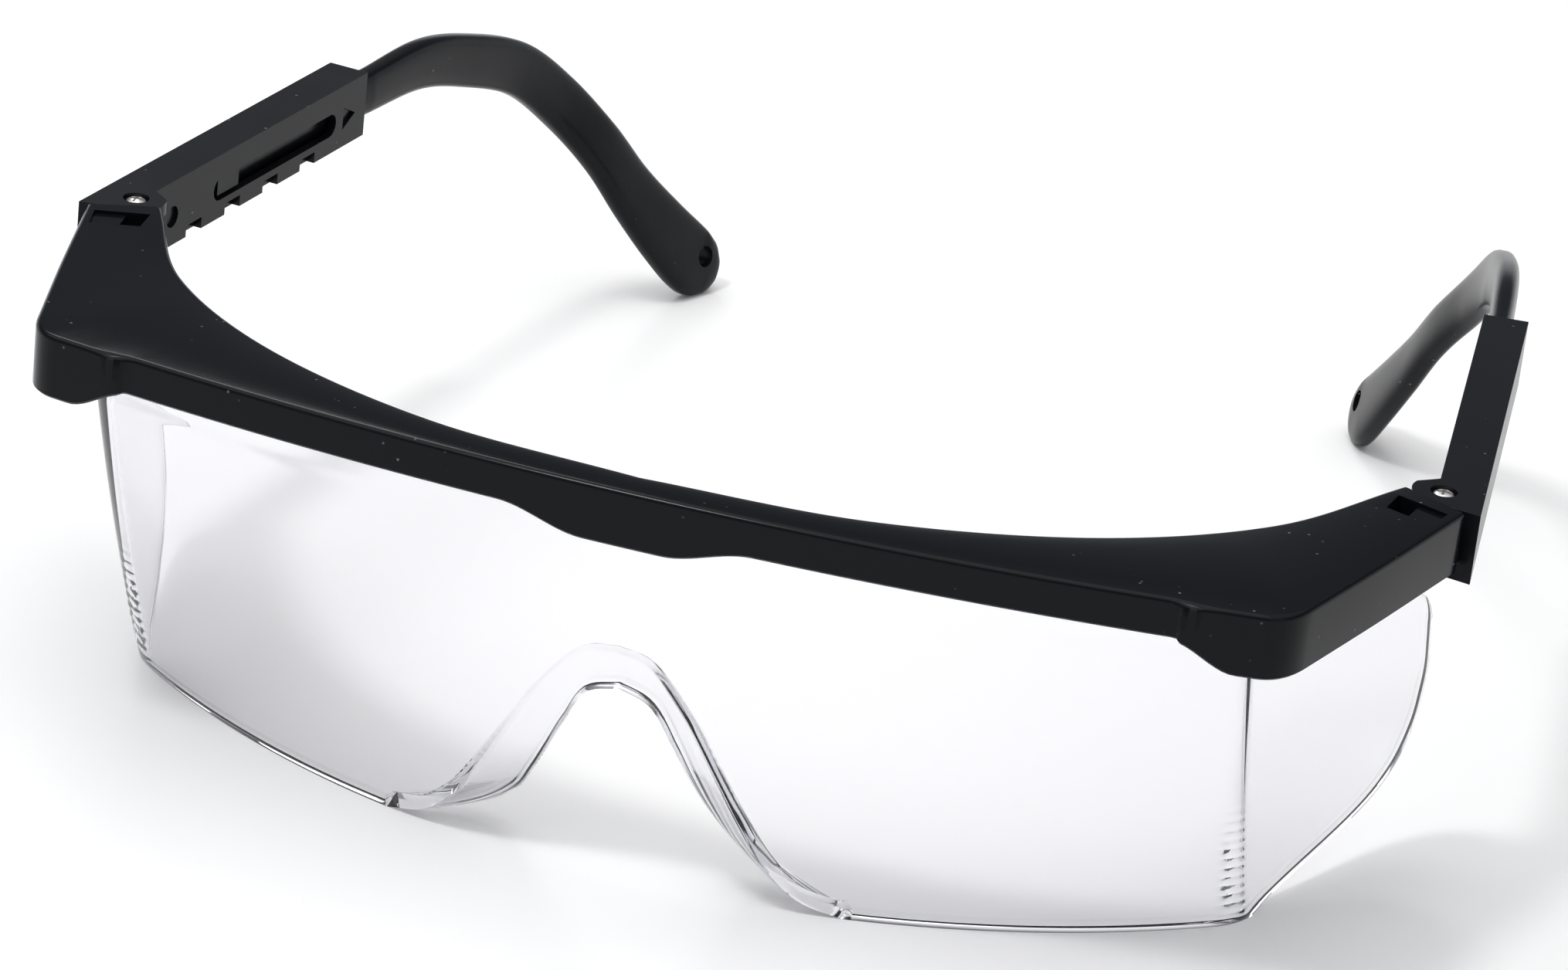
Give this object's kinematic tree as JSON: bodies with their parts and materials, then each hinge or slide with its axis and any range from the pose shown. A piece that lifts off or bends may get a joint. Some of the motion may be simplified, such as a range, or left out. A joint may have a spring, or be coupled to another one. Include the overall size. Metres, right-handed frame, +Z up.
{
  "type": "safety glasses",
  "caption": "clear wrap-around safety glasses with a black brow frame, side shields, folding temples and sliding ear pieces",
  "frame": {"origin": "centre of the bounding box in X and Y, on the surface that the lens and the ear pieces stand on", "axes": "+X toward the wearer's left, +Y toward the back of the head, +Z up; the front of the lens faces -Y"},
  "size_m": [0.1492, 0.1576, 0.0435],
  "materials": {
    "frame": "glossy black moulded plastic",
    "temple": "satin-gloss black moulded plastic",
    "lens": "clear polished plastic",
    "screw": "bright steel"
  },
  "bodies": {
    "frame": {"brow_frame": "frame", "lens": "lens", "right_hinge_screw": "screw", "left_hinge_screw": "screw"},
    "right_sleeve": {"right_sleeve": "temple"},
    "left_sleeve": {"left_sleeve": "temple"},
    "right_ear_piece": {"right_ear_piece": "temple"},
    "left_ear_piece": {"left_ear_piece": "temple"}
  },
  "joints": [
    {"name": "left_fold", "type": "hinge", "parent": "frame", "child": "left_sleeve", "pos_m": [0.07, -0.03428, 0.0397], "axis": [0, 0, 1], "range_deg": [0, 74]},
    {"name": "left_length", "type": "slide", "parent": "left_sleeve", "child": "left_ear_piece", "axis": [-0.1201, 0.9928, 0], "range_m": [0, 0.02]},
    {"name": "right_fold", "type": "hinge", "parent": "frame", "child": "right_sleeve", "pos_m": [-0.07, -0.03428, 0.0397], "axis": [0, 0, -1], "range_deg": [0, 45]},
    {"name": "right_length", "type": "slide", "parent": "right_sleeve", "child": "right_ear_piece", "axis": [0.1201, 0.9928, 0], "range_m": [0, 0.02]}
  ]
}
